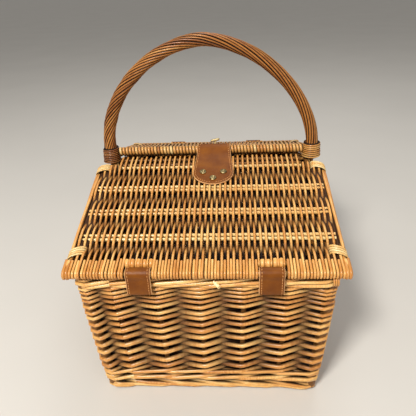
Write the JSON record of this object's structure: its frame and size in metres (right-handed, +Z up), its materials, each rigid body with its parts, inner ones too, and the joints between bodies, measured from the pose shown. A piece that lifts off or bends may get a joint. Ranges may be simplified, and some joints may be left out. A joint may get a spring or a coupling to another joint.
{
  "type": "picnic basket",
  "caption": "Woven willow picnic basket with sloping lids that open outwards on leather hinge straps, a fixed roped handle and a flap with a turn-lock.",
  "frame": {"origin": "centre of the basket's footprint, on the surface that it stands on", "axes": "+Z up; +X across the basket along the handle's span; +Y along its length, the flap's riveted end facing -Y (the front)"},
  "size_m": [0.325, 0.4344, 0.4272],
  "materials": {
    "willow": "varnished honey-brown willow rods with a soft sheen",
    "pale_willow": "varnished pale willow sticks and border rods",
    "dark_willow": "dark red-brown willow binding, satin",
    "leather": "smooth saddle-tan leather with stitched edges",
    "brass": "antique brass, lightly worn"
  },
  "bodies": {
    "basket": {"base_panel": "willow", "front_siding": "willow", "rear_siding": "willow", "left_siding": "willow", "right_siding": "willow", "handle_bow": "willow", "handle_leg_left": "willow", "handle_leg_right": "willow", "handle_collar_right": "willow", "corner_post_front_left": "willow", "hinge_strap_front_left": "leather", "corner_post_front_right": "willow", "hinge_strap_front_right": "leather", "corner_post_rear_left": "willow", "hinge_strap_rear_left": "leather", "corner_post_rear_right": "willow", "hinge_strap_rear_right": "leather", "foot_border": "pale_willow", "lower_wale": "pale_willow", "front_rim": "pale_willow", "rear_rim": "pale_willow", "left_rim": "pale_willow", "right_rim": "pale_willow", "centre_bar": "pale_willow", "handle_collar_left": "dark_willow"},
    "front_lid": {"front_lid_weave": "willow", "front_lid_left_rail": "willow", "front_lid_right_rail": "willow", "front_lid_hinge_stick": "pale_willow", "front_lid_inner_stick": "pale_willow", "front_lid_cross_stick_1": "pale_willow", "front_lid_cross_stick_2": "pale_willow", "front_lid_cross_stick_3": "pale_willow", "front_lid_cross_stick_4": "pale_willow", "front_lid_cross_stick_5": "pale_willow", "front_lid_cross_stick_6": "pale_willow", "front_lid_cross_stick_7": "pale_willow", "front_lid_cross_stick_8": "pale_willow", "flap_base": "leather", "flap_rivet_1": "brass", "flap_rivet_2": "brass", "flap_rivet_3": "brass"},
    "rear_lid": {"rear_lid_weave": "willow", "rear_lid_left_rail": "willow", "rear_lid_right_rail": "willow", "rear_lid_hinge_stick": "pale_willow", "rear_lid_inner_stick": "pale_willow", "rear_lid_cross_stick_1": "pale_willow", "rear_lid_cross_stick_2": "pale_willow", "rear_lid_cross_stick_3": "pale_willow", "rear_lid_cross_stick_4": "pale_willow", "rear_lid_cross_stick_5": "pale_willow", "rear_lid_cross_stick_6": "pale_willow", "rear_lid_cross_stick_7": "pale_willow", "rear_lid_cross_stick_8": "pale_willow", "lock_plate": "brass"},
    "flap": {"closure_flap": "leather", "flap_eyelet": "brass"},
    "turn_button": {"turn_button": "brass"}
  },
  "joints": [
    {"name": "front_lid_hinge", "type": "hinge", "parent": "basket", "child": "front_lid", "pos_m": [0, -0.2105, 0.1995], "axis": [1, 0, 0], "range_deg": [0, 175]},
    {"name": "rear_lid_hinge", "type": "hinge", "parent": "basket", "child": "rear_lid", "pos_m": [0, 0.2105, 0.1995], "axis": [-1, 0, 0], "range_deg": [0, 175]},
    {"name": "flap_lift", "type": "hinge", "parent": "front_lid", "child": "flap", "pos_m": [0.006, -0.03885, 0.25638], "axis": [1, 0, 0], "range_deg": [0, 150], "deforming": ["closure_flap", "flap_eyelet"]},
    {"name": "turn_button_turn", "type": "hinge", "parent": "rear_lid", "child": "turn_button", "pos_m": [0.006, 0.03852, 0.25618], "axis": [0, 0.284, 0.9588], "range_deg": [0, 90]}
  ]
}
